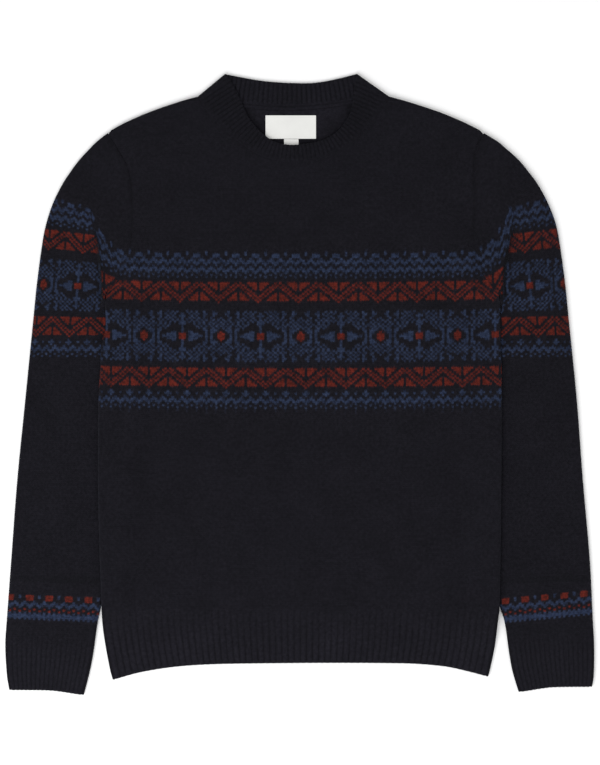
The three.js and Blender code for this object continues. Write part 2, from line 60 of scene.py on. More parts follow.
class Strand:
    """A value on its way through a material's nodes. Sums and products of strands add Math nodes."""

    def __init__(self, tree, socket=None):
        self.tree = tree
        self.socket = socket

    def node(self, kind, settings=None, inputs=None, output=0):
        made = self.tree.nodes.new(kind)
        for name, value in (settings or {}).items():
            setattr(made, name, value)
        for name, value in (inputs or {}).items():
            if isinstance(value, Strand):
                self.tree.links.new(value.socket, made.inputs[name])
            else:
                made.inputs[name].default_value = value
        return Strand(self.tree, made.outputs[output] if len(made.outputs) else None)

    def attribute(self, name, output="Vector"):
        return self.node("ShaderNodeAttribute", {"attribute_name": name}, output=output)

    def split(self):
        """The first of three numbers; the others are its node's outputs Y and Z."""
        return self.node("ShaderNodeSeparateXYZ", {}, {"Vector": self})

    def bump(self, strength, distance):
        inputs = {"Strength": strength, "Distance": distance, "Height": self}
        return self.node("ShaderNodeBump", {}, inputs)

    def other(self, output):
        return Strand(self.tree, self.socket.node.outputs[output])

    def maths(self, operation, *values):
        values = dict(enumerate([self, *values]))
        return self.node("ShaderNodeMath", {"operation": operation}, values)

    def __add__(self, value):
        return self.maths("ADD", value)

    def __sub__(self, value):
        return self.maths("SUBTRACT", value)

    def __rsub__(self, value):
        return self * -1 + value

    def __mul__(self, value):
        return self.maths("MULTIPLY", value)

    def __pow__(self, value):
        return self.maths("POWER", value)

    __radd__, __rmul__ = __add__, __mul__

    def sine(self):
        return self.maths("SINE")

    def fraction(self):
        return self.maths("FRACT")

    def clamped(self):
        return self.maths("MAXIMUM", 0.0).maths("MINIMUM", 1.0)

    def between(self, first, second):
        """The first colour where this strand is 0, and the second where it is 1."""
        settings = {"data_type": "RGBA"}
        return self.node("ShaderNodeMix", settings, {0: self, 6: first, 7: second}, output=2)

    def noise(self, scale, detail=2.0):
        """A cloudy value round one half, with so many clouds to the metre."""
        place = self.node("ShaderNodeTexCoord", output="Object")
        return self.node("ShaderNodeTexNoise", {}, {"Vector": place, "Scale": scale, "Detail": detail})

    def surface(self, **sockets):
        """Ends the material: the shader with these sockets, and what it gives to the surface."""
        inputs = {name.replace("_", " "): value for name, value in sockets.items()}
        shader = self.node("ShaderNodeBsdfPrincipled", {}, inputs)
        self.node("ShaderNodeOutputMaterial", {}, {"Surface": shader})


def new_material(name):
    material = bpy.data.materials.new(name)
    material.use_nodes = True
    material.node_tree.nodes.clear()
    return material, Strand(material.node_tree)


def table_top():
    material, start = new_material("table_paper")
    cloud = start.noise(3.0)
    grain = start.noise(900.0)
    white = cloud.between((0.96, 0.96, 0.962, 1), (0.975, 0.975, 0.975, 1))
    start.surface(Base_Color=white, Roughness=0.8, Normal=grain.bump(0.05, 0.0002))
    size, drop = 3.0, 0.0004
    mesh = bpy.data.meshes.new("table")
    corners = [(-size, -size, -drop), (size, -size, -drop), (size, size, -drop), (-size, size, -drop)]
    mesh.from_pydata(corners, [], [(0, 1, 2, 3)])
    mesh.materials.append(material)
    table = bpy.data.objects.new("table", mesh)
    bpy.context.collection.objects.link(table)


table_top()

room = bpy.data.worlds.new("room")
room.use_nodes = True
room.node_tree.nodes["Background"].inputs["Color"].default_value = (1.0, 1.0, 1.0, 1)
room.node_tree.nodes["Background"].inputs["Strength"].default_value = 0.80
bpy.context.scene.world = room

soft_light = bpy.data.lights.new("soft_light", "AREA")
soft_light.shape = "DISK"
soft_light.size = 1.9
soft_light.energy = 30
lamp = bpy.data.objects.new("soft_light", soft_light)
lamp.location = (-0.7, -1.25, 1.5)
lamp.rotation_euler = (np.radians(42), 0, np.radians(-31))
bpy.context.collection.objects.link(lamp)

# The front of the body
# One panel of plain knitting in navy wool, with bands of blue and red stitches knitted in. It is
# sewn to the back over the shoulders and runs on into it round the folds at the sides.
wall = 2.6                              # thickness of the knitted wall, in millimetres as all sizes here
inner_radius = 0.3                      # inside of a fold
seam_gap = 0.04                         # between two pieces that are sewn together
seam_inset = 0.6 * seam_gap             # of a panel's edge from the line of its armhole
half = wall + inner_radius              # height of a fold's middle above what the tube lies on
tube = 2 * half                         # height of the two layers of a tube
neck_end_y, shoulder_y, underarm_y, hem_seam_y = 351, 307, 103, -270
half_width = 240                        # of the body, from its middle to a side

body_side = {
    "y": [103, 66, 48, 12, -19, -141, -271, -292, -319, -348, -360.3],
    "left": [-237.5, -236.3, -241.3, -243.2, -245.0, -245.3, -241.4, -240.3, -237.0, -231.6, -228.3],
    "right": [244.4, 244.4, 244.6, 246.0, 246.3, 245.6, 243.5, 241.2, 238.3, 232.4, 229.2],
}
armhole_points = {
    "left": [(-234.5, 307), (-221.6, 286), (-209.4, 262), (-204.5, 225), (-205.8, 169),
             (-214.3, 140), (-222.6, 123), (-237.5, 103)],
    "right": [(225.0, 307), (214.6, 286), (211.8, 260), (212.8, 225), (212.5, 170),
              (220.0, 140), (229.4, 122.6), (244.4, 103)],
}
shoulder_points = {
    "left": [(-234.5, 307), (-214.3, 318.5), (-182.6, 332.6), (-141.1, 347), (-125, 351)],
    "right": [(225, 307), (203, 318.5), (170, 332.6), (126.1, 347), (110, 351)],
}
front_neck_points = [
    (-125, 351), (-113, 332.4), (-97.2, 314.1), (-75.2, 296.3), (-53.3, 281.2), (-28.2, 272.7),
    (-3.2, 270.2), (34, 276.3), (65.1, 294.6), (85.3, 317.8), (99.5, 336.1), (110, 351),
]
neck_tip = {"left": (-91, 379.2), "right": (70, 379.2)}
front_band_edge = [
    neck_tip["left"], (-83.8, 370), (-75.8, 355.6), (-69.1, 340.4), (-61.8, 325.1), (-53.3, 314.1),
    (-42.3, 303.8), (-30.1, 295.8), (-11.8, 292.2), (5.3, 293.4), (24.8, 297.1), (40.1, 304.4),
    (52.3, 316), (61.4, 331.2), (65.1, 348.3), (66.6, 362.9), neck_tip["right"],
]
lift_inside = {
    "y": [200, 103, 5, -68, -165, -238, -335],
    "left": [-200, -206, -208, -212, -221, -230, -234],
    "right": [207, 213, 215, 219, 227, 234, 237],
}
overlap_lift, overlap_slope = tube + 0.7, 40        # of the body's sides over the tucked sleeves
lift_top, lift_full_top, lift_full_hem, lift_hem = 198, 150, -279, -330
puff = {"height": 1.8, "x": -8, "y": 286, "width": 75, "depth": 45}     # of the front over the label


def smooth(share):
    share = np.clip(share, 0, 1)
    return share * share * (3 - 2 * share)


def lerp(first, second, share):
    return first + (second - first) * share


def bell(distance, width):
    return np.exp(-((distance / width) ** 2))


def cubic(start, end, pull, push, t):
    """The smooth way from start to end, with the slopes that it leaves and arrives with."""
    return ((2 * start - 2 * end + pull + push) * t**3
            + (3 * end - 3 * start - 2 * pull - push) * t**2 + pull * t + start)


def table_at(table, key_name, value_name, key):
    """Smooth value of one column of a table at places given in another column."""
    order = np.argsort(table[key_name])
    keys = np.array(table[key_name], float)[order]
    values = np.array(table[value_name], float)[order]
    at = np.clip(key, keys[0], keys[-1])
    low = np.clip(np.searchsorted(keys, at, side="right") - 1, 0, len(keys) - 2)
    places = np.arange(len(keys))
    before, after = np.maximum(places - 1, 0), np.minimum(places + 1, len(keys) - 1)
    slope = (values[after] - values[before]) / (keys[after] - keys[before])
    span = keys[low + 1] - keys[low]
    pull, push = span * slope[low], span * slope[low + 1]
    return cubic(values[low], values[low + 1], pull, push, (at - keys[low]) / span)


def run_along(line):
    """How far each point of a line is from its first one, along it."""
    return np.concatenate([[0], np.cumsum(np.linalg.norm(np.diff(line, axis=0), axis=1))])


def smooth_curve(points, count=600):
    """Points at equal distances along a smooth curve through the given ones."""
    given = np.array(points, float)
    padded = np.vstack([given[:1], given, given[-1:]])
    t = np.linspace(0, 1, 40, endpoint=False)[:, None]
    stretches = []
    for before, start, end, after in zip(padded, padded[1:], padded[2:], padded[3:]):
        stretches.append(cubic(start, end, (end - before) / 2, (after - start) / 2, t))
    line = np.vstack(stretches + [given[-1:]])
    run = run_along(line)
    places = np.linspace(0, run[-1], count)
    return np.stack([np.interp(places, run, column) for column in line.T], axis=1)


def along(curve, share):
    """The point of an evenly divided curve at a share of its length."""
    places = np.linspace(0, 1, len(curve))
    return np.stack([np.interp(share, places, column) for column in curve.T], axis=-1)


armhole = {side: smooth_curve(points) for side, points in armhole_points.items()}


def shoulder_line(side):
    table = dict(zip("xy", zip(*shoulder_points[side])))
    x = np.linspace(table["x"][0], table["x"][-1], 120)
    return np.stack([x, table_at(table, "x", "y", x)], axis=1)


def body_edge(side, y):
    """Where the body ends at a height: its fold, the armhole's seam or the shoulder."""
    inward = 1 if side == "left" else -1
    seam = armhole[side][::-1]
    shoulder = shoulder_line(side)
    on_side = table_at(body_side, "y", side, y)
    on_seam = np.interp(y, seam[:, 1], seam[:, 0]) + inward * seam_inset
    on_shoulder = np.interp(y, shoulder[:, 1], shoulder[:, 0])
    return np.where(y < underarm_y, on_side, np.where(y < shoulder_y, on_seam, on_shoulder))


def fold_distance(x, y, lines):
    """How far points are from the nearest fold line, and the direction from it into the cloth."""
    nearest = np.full(x.shape, 1e9)
    inward = np.zeros(x.shape + (2,))
    for line, inside in lines:
        for start, end in zip(line, line[1:]):
            step = end - start
            share = np.clip(((x - start[0]) * step[0] + (y - start[1]) * step[1]) / (step @ step), 0, 1)
            away = np.hypot(x - start[0] - share * step[0], y - start[1] - share * step[1])
            normal = np.array([-step[1], step[0]]) / np.linalg.norm(step)
            normal = normal if normal @ (np.array(inside) - start) > 0 else -normal
            closer = away < nearest
            nearest = np.where(closer, away, nearest)
            inward = np.where(closer[..., None], normal, inward)
    return nearest, inward


def body_folds():
    lines = []
    for side in ("left", "right"):
        y = np.linspace(hem_seam_y - 5, underarm_y, 60)
        lines.append((np.stack([table_at(body_side, "y", side, y), y], axis=1), (0, 0)))
        lines.append((shoulder_line(side)[::6], (0, 0)))
    return lines


def round_fold(distance):
    """Height of a fold's outside over its middle, from 0 on the fold line to 1 where it is flat."""
    return np.sqrt(1 - (1 - np.clip(distance / half, 0, 1)) ** 2)


def layer_heights(middle, facing, flatness):
    """Heights of a layer's outside and inside: the upper layer faces up (1) and the lower down (-1)."""
    seam = seam_gap / 2
    return (middle + facing * (seam + (half - seam) * flatness),
            middle + facing * (seam + (inner_radius - seam) * flatness))


def lift_below(y):
    """How far the body's sides are lifted over the sleeves, from beside the armhole down."""
    return overlap_lift * smooth((lift_top - y) / (lift_top - lift_full_top))


def body_lift(x, y):
    inside = np.where(x < 0, x - table_at(lift_inside, "y", "left", y),
                      table_at(lift_inside, "y", "right", y) - x)
    up = smooth((y - lift_hem) / (lift_full_hem - lift_hem))
    return lift_below(y) * up * (1 - smooth(inside / overlap_slope))


def neck_puff(x, y):
    across, up = (x - puff["x"]) / puff["width"], (y - puff["y"]) / puff["depth"]
    return puff["height"] * np.exp(-(across**2) - up**2)


# Soft creases: where each starts and ends, how wide it is, and how far it stands up or sinks in,
# as a share of crease_rise
crease_rise, crease_bow = 1.4, 0.08
front_creases = [
    ((-214, 150), (-120, 205), 15, 0.9), ((-200, 118), (-128, 136), 12, -0.8),
    ((-226, 72), (-150, 60), 13, 0.9), ((218, 146), (132, 196), 16, 0.8),
    ((206, 112), (120, 118), 12, -0.8), ((228, 64), (160, 40), 14, 0.9),
    ((-150, 262), (-118, 190), 17, 0.6), ((150, 268), (112, 214), 15, 0.6),
    ((-190, -92), (-96, -70), 20, 0.7), ((120, -120), (205, -96), 22, 0.7),
    ((-60, -196), (58, -186), 24, 0.6), ((-16, 232), (20, 190), 18, 0.5),
]
back_creases = [
    ((-196, 160), (-110, 196), 16, 0.7), ((-210, 92), (-140, 84), 12, 0.8),
    ((204, 152), (126, 190), 15, 0.7), ((214, 84), (138, 96), 13, 0.8),
    ((-120, 290), (-60, 262), 18, 0.6), ((96, 288), (40, 258), 16, 0.6),
    ((-170, -110), (-70, -128), 22, 0.7), ((70, -60), (176, -84), 20, 0.7),
    ((-40, 40), (66, 26), 19, 0.5),
]


def crease_height(x, y, creases):
    height = np.zeros(np.shape(x))
    for start, end, width, rise in creases:
        step = np.array(end, float) - start
        length = np.linalg.norm(step)
        run = ((x - start[0]) * step[0] + (y - start[1]) * step[1]) / length
        bowed = crease_bow * length * np.sin(np.pi * np.clip(run / length, 0, 1))
        off = ((y - start[1]) * step[0] - (x - start[0]) * step[1]) / length - bowed
        ends = smooth(run / (0.35 * length)) * smooth((length - run) / (0.45 * length))
        height += crease_rise * rise * bell(off, width) * ends
    return height


# The stitches: the bands, from the top row down, as half of a repeat that is mirrored.
# A dot is a navy stitch, b a blue one and r a red one.
upper_waves = "....b bb..b bb... ..b.. .bbb. bb.bb b...b ..b.. .bbb. bb.bb b...b ..b.. b...b".split()
lower_waves = "b.... bb..b b.... ..b.. .bbb. bb.bb b...b ..b.. b...b".split()
flower_band = """
    ...b...b..b.b.b.. ..bb..bb.b.b.b..b ...b...b..b.b..bb b...b..b.b.b.b..b .b.b..b.b.b.b.b.b
    b.b.b..b.b.b.b.bb .b.b.b.b.b.b...bb b.b.b.b.b.b.....b .b.b...b.b......b ..bbb.bb........b
    r..bb.b.....bb..b rr..b.b...bbbb.rr rr..b.b.bbbbbb.rr
""".split()
band_top, row_height, rows_bend = 162.3, 2.49, 2.44
half_stitches = 16                      # in half of a repeat
centre_x, half_repeat, narrowing = 1.4, 49.5, 0.44      # half a repeat's width, less towards the sides
half_steps = np.arange(-170, 171)       # sides and middles of the body's stitches, from its middle
stitch_dip = 0.45                       # how far a stitch's middle hangs below its sides, in rows


def leaf_row(row):
    """One row of a red band: triangles on both sides of a ribbon of single stitches."""
    half_row = []
    for place in range(9):
        upper = 1 <= place <= 5 - row
        lower = 13 - row <= place <= 7 and row <= 9
        ribbon = 7 - row <= place <= 11 - row and (place + row) % 2 == 0
        half_row.append("r" if upper or lower or ribbon else ".")
    return "".join(half_row)


def body_chart():
    leaves = [leaf_row(row) for row in range(1, 12)]
    flowers = flower_band + flower_band[-2::-1]
    plain = ["."]
    rows = upper_waves + plain * 2 + leaves + plain * 3 + flowers + plain * 3 + leaves + lower_waves
    chart = np.zeros((len(rows), half_stitches + 1), int)
    for row, half_row in enumerate(rows):
        repeat = max(2 * (len(half_row) - 1), 1)
        for place in range(half_stitches + 1):
            folded = abs((place + repeat // 2) % repeat - repeat // 2)
            chart[row, place] = ".br".index(half_row[folded])
    return chart


bands = body_chart()
band_bottom = band_top - len(bands) * row_height
# How many stitches each band's middle lies to the side of the flowers' middle
bands_shift = np.repeat([-2, -1, 0, 2], [14, 14, 28, len(bands) - 56])


def yarn_at(chart, shifts, stitch, row):
    """Which yarn lies at a place among the stitches: 0 navy, 1 blue, 2 red."""
    repeat = 2 * (chart.shape[1] - 1)
    column = np.round(stitch)
    leg = 2 * np.abs(stitch - column)
    line = np.floor(row - stitch_dip * (1 - leg)).astype(int)
    known = (line >= 0) & (line < len(chart))
    line = np.clip(line, 0, len(chart) - 1)
    place = column.astype(int) - shifts[line]
    place = np.abs((place + repeat // 2) % repeat - repeat // 2)
    return np.where(known, chart[line, place], 0)


def body_stitches(x, y):
    """Stitches counted from the middle, and rows counted down from the top of the bands."""
    off = x - centre_x
    share = (half_repeat - np.sqrt(half_repeat**2 - 4 * narrowing * np.abs(off))) / (2 * narrowing)
    row = (band_top + rows_bend * (x / half_width) ** 2 - y) / row_height
    return half_stitches * np.sign(off) * share, row


def solid_volume(points, faces):
    fans = [(face[0], *pair) for face in faces for pair in zip(face[1:], face[2:])]
    first, second, third = (points[np.array(fans)[:, index]] for index in range(3))
    return np.einsum("ij,ij->i", first, np.cross(second, third)).sum() / 6


yarn_softness = 0.55                    # how far the colours of neighbouring stitches run together


def knitted(name, points, faces, stitch, finish, yarn=None, inside=0.0, painted_shade=0.0):
    """A piece from its points and faces: doubled points become one, and faces with no area go."""
    _, first, place = np.unique(np.round(points, 3), axis=0, return_index=True, return_inverse=True)
    place = place.reshape(-1)
    kept, kept_faces = [], []
    for number, face in enumerate(faces):
        corners = [place[corner] for corner in face]
        corners = [corner for index, corner in enumerate(corners) if corner != corners[index - 1]]
        if len(corners) > 2 and len(set(corners)) == len(corners):
            kept.append(corners)
            kept_faces.append(number)
    found = points[first] * 0.001
    if solid_volume(found, kept) < 0:
        kept = [corners[::-1] for corners in kept]
    mesh = bpy.data.meshes.new(name)
    mesh.from_pydata(found.tolist(), [], kept)

    def mark(title, kind, domain, values):
        layer = mesh.attributes.new(title, kind, domain)
        layer.data.foreach_set("value" if kind == "FLOAT" else "vector", np.ravel(values))

    inside, painted_shade = (np.broadcast_to(values, len(points)) for values in (inside, painted_shade))
    yarn = np.zeros((len(points), 2)) if yarn is None else yarn
    mark("stitch", "FLOAT_VECTOR", "POINT", np.column_stack([stitch, inside])[first])
    # painted_shade: painted shade for the wool's colour, darker above zero and lighter below it
    mark("painted_shade", "FLOAT", "POINT", painted_shade[first])
    if len(yarn) == len(faces):
        corner_point = np.concatenate(kept)
        by_corner = np.repeat(yarn[kept_faces], [len(corners) for corners in kept], axis=0)
        blurred = np.zeros((len(found), 2))
        np.add.at(blurred, corner_point, by_corner)
        blurred /= np.maximum(np.bincount(corner_point, minlength=len(found)), 1)[:, None]
        chosen, domain = lerp(by_corner, blurred[corner_point], yarn_softness), "CORNER"
    else:
        chosen, domain = yarn[first], "POINT"
    mark("yarn", "FLOAT_VECTOR", domain, np.column_stack([chosen, np.zeros(len(chosen))]))
    mesh.polygons.foreach_set("use_smooth", [True] * len(mesh.polygons))
    mesh.set_sharp_from_angle(angle=np.radians(55))
    mesh.materials.append(finish)
    piece = bpy.data.objects.new(name, mesh)
    bpy.context.collection.objects.link(piece)
    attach(piece, "root")
    return piece


def both_sheets(outer, inner):
    """One list of the points, or of the values, of the outer sheet and of the inner one."""
    size = (-1, outer.shape[2]) if outer.ndim > 2 else -1
    return np.concatenate([outer.reshape(size), inner.reshape(size)])


def coarse(count, step):
    return sorted({0, count - 1, *range(0, count, step)})


def shell_faces(rows, columns, kept_rows, kept_columns, wraps=False):
    """Faces of a closed sheet: a fine outer grid, a coarser inner grid, and the edges between them."""
    def outer(row, column):
        return row * columns + column % columns

    def inner(row, column):
        return rows * columns + outer(row, column)

    faces = []
    for row in range(rows - 1):
        for column in range(columns if wraps else columns - 1):
            faces.append((outer(row, column), outer(row, column + 1),
                          outer(row + 1, column + 1), outer(row + 1, column)))
    spans = list(zip(kept_columns, kept_columns[1:])) + ([(kept_columns[-1], columns)] if wraps else [])
    for low, high in zip(kept_rows, kept_rows[1:]):
        for left, right in spans:
            faces.append((inner(low, left), inner(high, left), inner(high, right), inner(low, right)))
        if not wraps:
            left, right = 0, columns - 1
            steps = range(low, high + 1)
            faces.append([outer(row, left) for row in steps] + [inner(high, left), inner(low, left)])
            faces.append([outer(row, right) for row in reversed(steps)]
                         + [inner(low, right), inner(high, right)])
    last = rows - 1
    for left, right in spans:
        steps = range(left, right + 1)
        faces.append([outer(0, column) for column in reversed(steps)]
                     + [inner(0, left), inner(0, right)])
        faces.append([outer(last, column) for column in steps]
                     + [inner(last, right), inner(last, left)])
    return faces


def yarn_weights(kinds):
    return np.stack([kinds == 1, kinds == 2], axis=-1).astype(float)


def wool(name, relief=0.7):
    """Soft carded wool: each stitch is a V of two strands, fuzzy, and a little uneven in its dye."""
    material, start = new_material(name)
    across = start.attribute("stitch").split()
    down, reverse = across.other("Y"), across.other("Z")
    leg = (across - across.maths("ROUND")).maths("ABSOLUTE") * 2
    slanted = down - stitch_dip * (1 - leg)
    strand = (leg * np.pi).sine() ** 0.7
    knit = strand * (0.55 + 0.45 * (slanted.fraction() * np.pi).sine())
    loop = (down + 0.25 * leg).fraction()
    purl = 0.5 + 0.35 * ((loop * np.pi).sine() - 0.5)
    stitches = knit * (1 - reverse) + purl * reverse
    fuzz = start.noise(1500.0, 3.0)
    clumps = start.noise(300.0)
    clouds = start.noise(24.0)
    height = stitches + 0.6 * fuzz + 0.5 * clumps

    blue = start.attribute("yarn").split()
    red = blue.other("Y")
    ragged = 0.6 * (fuzz - 0.5) + 0.6 * (clumps - 0.5)

    def share_of(yarn):
        """Where this yarn shows, with a ragged edge where it meets another."""
        return ((yarn - 0.5 + ragged) * 1.25 + 0.5).clamped() * yarn.maths("GREATER_THAN", 0.02)

    uneven = (0.45 + 1.7 * (clumps - 0.5) + 0.8 * (fuzz - 0.5)).clamped()
    navy_tone = uneven.between((0.0045, 0.0042, 0.0064, 1), (0.0088, 0.0082, 0.0118, 1))
    blue_tone = uneven.between((0.0085, 0.0120, 0.026, 1), (0.0258, 0.0385, 0.079, 1))
    red_tone = uneven.between((0.038, 0.0072, 0.0050, 1), (0.128, 0.0158, 0.0100, 1))
    colour = share_of(red).between(share_of(blue).between(navy_tone, blue_tone), red_tone)
    # Painted shade: the painted_shade attribute darkens the colour in grooves, seams and recesses, and
    # lightens it where it is below zero
    painted_shade = start.attribute("painted_shade", "Fac")
    # Tone: the wool's own uneven dye (clumps and clouds), and painted shade that darkens the colour
    # between the stitches
    tone = 0.77 + 0.40 * stitches + 0.35 * (clumps - 0.5) + 0.5 * (clouds - 0.5)
    tone = tone * (1 - 0.55 * painted_shade)
    shade = start.node("ShaderNodeCombineColor", {}, {0: tone, 1: tone, 2: tone})
    settings = {"data_type": "RGBA", "blend_type": "MULTIPLY"}
    shaded = start.node("ShaderNodeMix", settings, {0: 1.0, 6: colour, 7: shade}, output=2)
    start.surface(Base_Color=shaded, Roughness=0.86 + 0.12 * fuzz, Normal=height.bump(relief, 0.0008),
                  Sheen_Weight=0.03, Sheen_Roughness=0.5, Sheen_Tint=(0.75, 0.8, 1.0, 1),
                  Specular_IOR_Level=0.08)
    return material


lambswool = wool("lambswool")


def body_columns():
    """The lines down the panel: one at each side of a stitch and one at its middle."""
    share = half_steps / (2 * half_stitches)
    return centre_x + half_repeat * share - narrowing * share * np.abs(share)


def body_rows():
    """The lines across the panel: one for each row of the bands, and wider ones beyond them."""
    low = np.linspace(hem_seam_y + seam_gap / 2, band_bottom, 32)[:-1]
    stitched = band_top - row_height * np.arange(len(bands), -1, -1)
    high = np.linspace(band_top, neck_end_y, 42)[1:]
    return np.concatenate([low, stitched, high])


def neck_height(x, neck):
    """The height of the neck's seam at places across the panel, and no limit beyond its ends."""
    return np.interp(x, neck[:, 0], neck[:, 1], left=1e3, right=1e3)


def panel_grid(neck):
    """The places of a panel's points: they follow its stitches, its folds and its neck."""
    lines, stitch_columns = body_rows(), body_columns()
    insets = half * (1 - np.cos(np.radians([0, 18, 36, 54, 72, 90])))
    count = len(insets)
    x = np.empty((len(lines), len(stitch_columns) + 2 * count))
    at_sides = {"left": (slice(None, count), insets), "right": (slice(-count, None), -insets[::-1])}
    for side, (columns, inward) in at_sides.items():
        edge = body_edge(side, lines)
        slant = np.minimum(np.hypot(1, np.gradient(edge, lines)), 3.0)
        x[:, columns] = edge[:, None] + inward * slant[:, None]
    x[:, count:-count] = np.clip(stitch_columns, x[:, count - 1:count], x[:, -count:-count + 1])
    below = (lines - lines[0]) / (band_bottom - lines[0])
    above = (neck_end_y - lines) / (neck_end_y - band_top)
    bend = rows_bend * np.clip(np.minimum(below, above), 0, 1)
    y = lines[:, None] + bend[:, None] * (x / half_width) ** 2
    in_bands = (lines <= band_top + 0.01) & (lines >= band_bottom - 0.01)
    in_place = np.abs(x[:, count:-count] - stitch_columns) < 1e-6
    dipped = in_bands[:, None] & in_place & (half_steps % 2 == 0)
    y[:, count:-count] -= dipped * stitch_dip * row_height
    return x, np.minimum(y, neck_height(x, neck))


def body_panel(name, neck_points, facing, creases):
    neck = smooth_curve(neck_points)
    x, y = panel_grid(neck)
    away, inward = fold_distance(x, y, body_folds())
    flatness = round_fold(away)
    middle = half + body_lift(x, y) + (neck_puff(x, y) if facing > 0 else 0)
    dip = seam_dip(x, y, neck)
    outer_z, inner_z = layer_heights(middle, facing, flatness)
    outer_z += crease_height(x, y, creases) * flatness - facing * dip * flatness
    shift = np.clip(half - inner_radius * (1 - away / half) - away, 0, None) * (away < half)
    inner_x, inner_y = x + inward[..., 0] * shift, y + inward[..., 1] * shift
    points = both_sheets(np.dstack([x, y, outer_z]), np.dstack([inner_x, inner_y, inner_z]))
    rows, columns = x.shape
    kept_columns = sorted({0, columns - 1, *range(5, columns - 5, 6)})
    faces = shell_faces(rows, columns, coarse(rows, 4), kept_columns)
    stitch = np.stack(body_stitches(points[:, 0], points[:, 1]), axis=1)
    centres = np.array([points[list(face), :2].mean(axis=0) for face in faces])
    kinds = yarn_at(bands, bands_shift, *body_stitches(centres[:, 0], centres[:, 1]))
    inside = np.repeat([0.0, 1.0], x.size)
    # Painted shade in the seams' dips on the outside, and on the back's inside the neckband's painted
    # shade
    shaded = neck_shade(inner_x, inner_y) if facing < 0 else np.zeros(x.shape)
    painted_shade = both_sheets(1.3 * dip, shaded)
    return knitted(name, points, faces, stitch, lambswool, yarn_weights(kinds), inside, painted_shade)


def seam_depth(y):
    """How deep an armhole's seam is: plain to see at the shoulder, and hardly in the bands."""
    return 0.35 * (0.12 + 0.88 * smooth((y - 160) / 45))


def seam_dip(x, y, neck):
    """The cloth rolls down a little towards the seams of the armholes and the neck."""
    dip = np.zeros(np.shape(x))
    for side, inward in (("left", 1), ("right", -1)):
        seam = armhole[side][::-1]
        away = (x - np.interp(y, seam[:, 1], seam[:, 0])) * inward
        dip = np.maximum(dip, seam_depth(y) * bell(away, 1.6))
    return np.maximum(dip, 0.15 * bell(neck_height(x, neck) - y, 2.0))


def neck_shade(x, y):
    """Painted shade where the front half of the neckband keeps the light from the inside of the back,
    and lighter further from it.
    """
    edge = smooth_curve(front_band_edge, 60)
    away = np.min([np.hypot(x - edge_x, y - edge_y) for edge_x, edge_y in edge], axis=0)
    return 0.95 * bell(away, 9) - 0.45


front = body_panel("front_panel", front_neck_points, 1, front_creases)
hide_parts("front")

# The back of the body
# A panel like the front one, with a higher neck. It lies on the table, and the inside of it, with
# its purl stitches, shows through the neck.
back_neck_points = [
    (-125, 351), (-106.9, 344), (-87.4, 339.8), (-66.7, 336.7), (-36.2, 334.3), (-8.1, 333.7),
    (30.9, 336.7), (62.6, 341.6), (88.3, 346.5), (110, 351),
]
back = body_panel("back_panel", back_neck_points, -1, back_creases)
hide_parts("back")

# The sleeves
# Two flattened tubes of the same knitting with the same bands, sewn into the armholes. Below the
# underarm their inner edges are tucked in under the body.
sleeve_outer = {
    "y": [307, 296, 288, 274, 259, 244, 222, 200, 180, 127, 79, -19, -116, -214, -287, -318, -356, -374],
    "left": [-234.5, -248.3, -256.2, -269.2, -280.3, -290.0, -300.9, -308.4, -313.0, -320.4, -325.3,
             -335.1, -344.8, -352.2, -357.6, -359.5, -357.4, -354.4],
    "right": [225.0, 242.7, 252.0, 267.6, 280.0, 291.0, 302.9, 311.6, 316.2, 323.7, 328.6,
              338.4, 345.7, 354.2, 357.9, 359.5, 359.0, 356.2],
}
sleeve_inner = {
    "y": [103, 96, 88, 60, 42, 5, -68, -165, -238, -271, -290, -330, -352, -379],
    "left": [-237.5, -236.9, -234.5, -229.0, -224.0, -214.5, -218.0, -227.0, -236.3, -242.5, -246.6,
             -252.2, -256.6, -263.5],
    "right": [244.4, 244.0, 241.5, 236.0, 231.0, 221.5, 225.0, 232.6, 239.4, 244.4, 250.2,
              256.0, 260.3, 268.5],
}
sleeve_lines = {                        # where lines across the sleeve meet its outer and inner edge
    "outer": [307, 262, 206, 152, 97, 42, -19, -92, -165, -238, -289.5],
    "inner": [103, 95, 84, 66, 40, 8, -30, -98, -169, -241, -293.5],
}
pleat = {                               # crease beside the armhole, where the body's fold runs out
    "y": [200, 186, 164, 140, 103],
    "left": [-253.0, -247.2, -243.6, -240.5, -238.8],
    "right": [259.0, 256.5, 253.0, 247.5, 245.8],
    "width": [11, 9, 6, 5, 4],
}
# Painted shadow beside the pleat: how dark, how far beyond it, how wide, and where it ends below and
# above
pleat_shade = {"depth": 1.25, "beside": 2.0, "width": 2.8, "bottom": 96, "top": 200}
sleeve_lift_end = 94
sleeve_steps = {                        # lines across the sleeve, counted down its outer edge
    "from": [307, 232, 30, -248],       # close together in the bands, wide apart between them
    "to": [232, 30, -248, -289.5],
    "count": [63, 195, 35, 39],
}
sleeve_knit = {
    "shift": 0.9, "left": 271.5, "right": 281.6,        # where the flowers' middle lies
    "lean": 0.08, "lean_from": 122,     # and how it moves outwards on the way down from this height
    "stitch": 2.78, "narrowing": 0.011, "reach": 60,
    "row": 2.44, "top": 222.0, "level_at": 274,         # of the rows, whose slope turns round level_at
}
sleeve_rows = {                         # how much the rows slope to the body, by the distance down
    "down": [-225, -195, -176, -151, -122, -82, -60],
    "slope": [0.3, 0.14, 0.12, 0.1, 0.05, 0.02, 0],
}
pleat_knit = {
    "start": 206, "width": 39, "rise": 30.5, "bend": 2.2, "rows": 29, "top": band_top + 2.4,
    "ends_past": 1.5, "ends_above": 86, "bands_below": 215,
}
cuff_rows_start, cuff_rows_outer = -240, 353
cuff_stitch, cuff_row = 2.99, 2.32
cuff_knit = {                           # the rows above the cuffs slope down to the body
    "left": {"middle": 305.5, "top": 255.2, "slope": 0.040},
    "right": {"middle": 298.9, "top": 250.6, "slope": 0.093},
}
